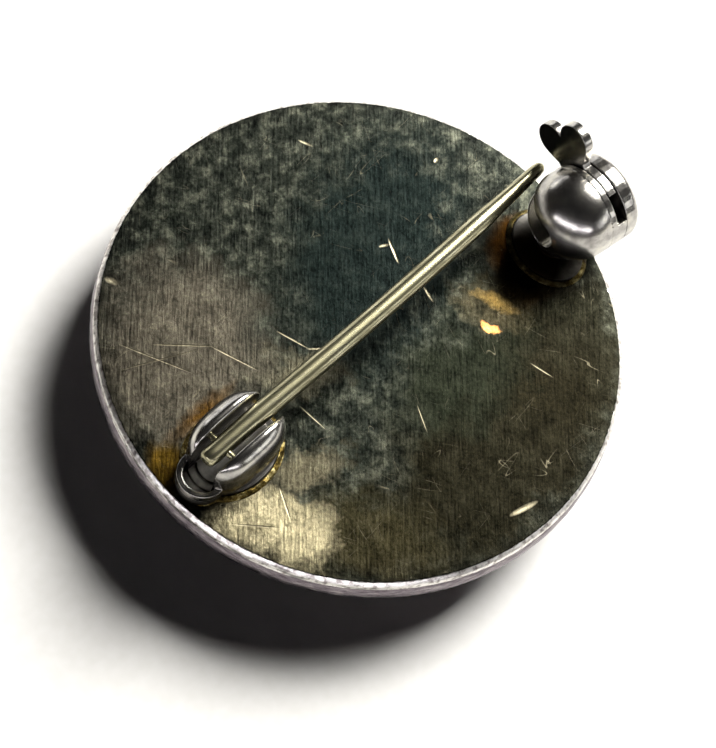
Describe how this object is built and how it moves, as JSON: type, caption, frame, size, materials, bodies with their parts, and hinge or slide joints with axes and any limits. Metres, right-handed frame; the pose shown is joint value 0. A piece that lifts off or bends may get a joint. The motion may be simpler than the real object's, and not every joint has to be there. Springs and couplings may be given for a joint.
{
  "type": "cabochon brooch",
  "caption": "Round domed brooch seen from its back: a plate with a ball joint, a pin stem and a rotating safety catch with a heart-shaped lever.",
  "frame": {"origin": "centre of the back plate's outer face", "axes": "+Z out of the back, +X from the ball joint to the safety catch, +Y to the side on which the open pin is parked"},
  "size_m": [0.0268, 0.026, 0.011],
  "materials": {
    "tarnished_silver": "dull, tarnished silver sheet with scratches",
    "onyx": "polished dark stone",
    "card": "plain card packing",
    "silver_finding": "polished plated finding, yellowing",
    "nickel_silver": "drawn and polished wire",
    "solder": "flowed solder, oxidised"
  },
  "bodies": {
    "root": {"back_plate": "tarnished_silver", "bezel": "tarnished_silver", "stone": "onyx", "backing_card": "card", "joint_ball": "silver_finding", "joint_solder": "solder", "catch_ball": "silver_finding", "catch_collar": "silver_finding", "catch_solder": "solder"},
    "rivet": {"joint_rivet": "nickel_silver"},
    "stem": {"pin_stem": "nickel_silver"},
    "rotor": {"rotor_lever": "silver_finding"}
  },
  "joints": [
    {"name": "stem_swing", "type": "hinge", "parent": "root", "child": "rivet", "pos_m": [-0.01019, -0.0016, 0.00265], "axis": [0.1298, -0.9915, 0], "range_deg": [0, 110]},
    {"name": "stem_flex", "type": "hinge", "parent": "rivet", "child": "stem", "pos_m": [-0.0086, -0.0014, 0.00265], "axis": [0, 0, 1], "range_deg": [-8.24, 0], "stiffness_Nm_per_rad": 0.002},
    {"name": "rotor_turn", "type": "hinge", "parent": "root", "child": "rotor", "pos_m": [0.01148, -0.00167, 0.00265], "axis": [0.9999, -0.0137, 0], "range_deg": [0, 38]}
  ]
}
